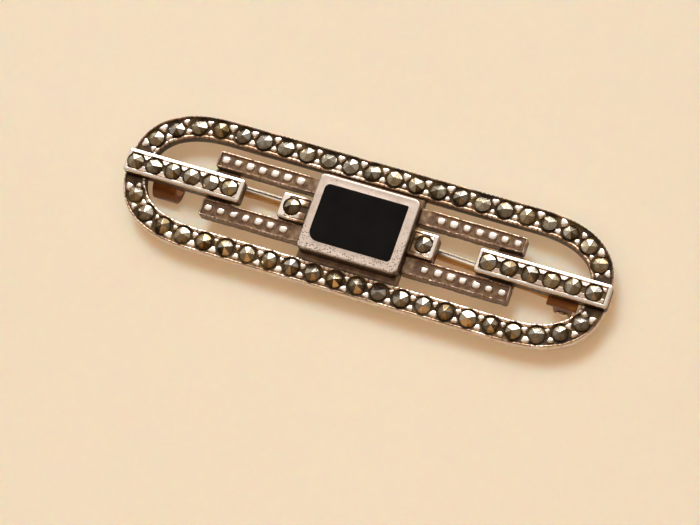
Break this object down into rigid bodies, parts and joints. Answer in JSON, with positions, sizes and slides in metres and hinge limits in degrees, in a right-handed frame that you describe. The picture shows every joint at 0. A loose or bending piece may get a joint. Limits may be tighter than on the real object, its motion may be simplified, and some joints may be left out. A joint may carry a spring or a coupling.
{
  "type": "bar brooch",
  "caption": "Art Deco bar brooch: open silver frame set with marcasites round a flush black onyx, with a hinged pin stem and a hook catch.",
  "frame": {"origin": "on the surface the brooch lies on, under the middle of its outline", "axes": "+X along the brooch towards the hinge, +Y across it, +Z out of its face"},
  "size_m": [0.045, 0.0124, 0.0051],
  "materials": {
    "oxidised_silver": "silver, darkened in the recesses and rubbed bright on beads and edges",
    "polished_silver": "worn polished silver with fine pits and scratches",
    "findings_silver": "drawn and filed silver, lightly tarnished",
    "marcasite": "polished facets of a brassy grey metallic stone",
    "onyx": "polished black stone, flat and flush with the bezel"
  },
  "bodies": {
    "brooch": {"frame_rail": "oxidised_silver", "upper_frame_marcasites": "marcasite", "lower_frame_marcasites": "marcasite", "left_end_bar": "polished_silver", "right_end_bar": "polished_silver", "left_bar_marcasites": "marcasite", "right_bar_marcasites": "marcasite", "upper_left_beaded_bar": "oxidised_silver", "lower_left_beaded_bar": "oxidised_silver", "upper_right_beaded_bar": "oxidised_silver", "lower_right_beaded_bar": "oxidised_silver", "left_cross_strip": "oxidised_silver", "right_cross_strip": "oxidised_silver", "base_plate": "oxidised_silver", "centre_bezel": "polished_silver", "onyx": "onyx", "left_stone_plate": "polished_silver", "right_stone_plate": "polished_silver", "left_plate_marcasite": "marcasite", "right_plate_marcasite": "marcasite", "hinge_bracket": "findings_silver", "hinge_rivet": "findings_silver", "catch_hook": "findings_silver"},
    "stem": {"pin_stem": "findings_silver"}
  },
  "joints": [
    {"name": "stem_swing", "type": "hinge", "parent": "brooch", "child": "stem", "pos_m": [0.0186, -0.00045, 0.00145], "axis": [0, -1, 0], "range_deg": [0, 75]}
  ]
}
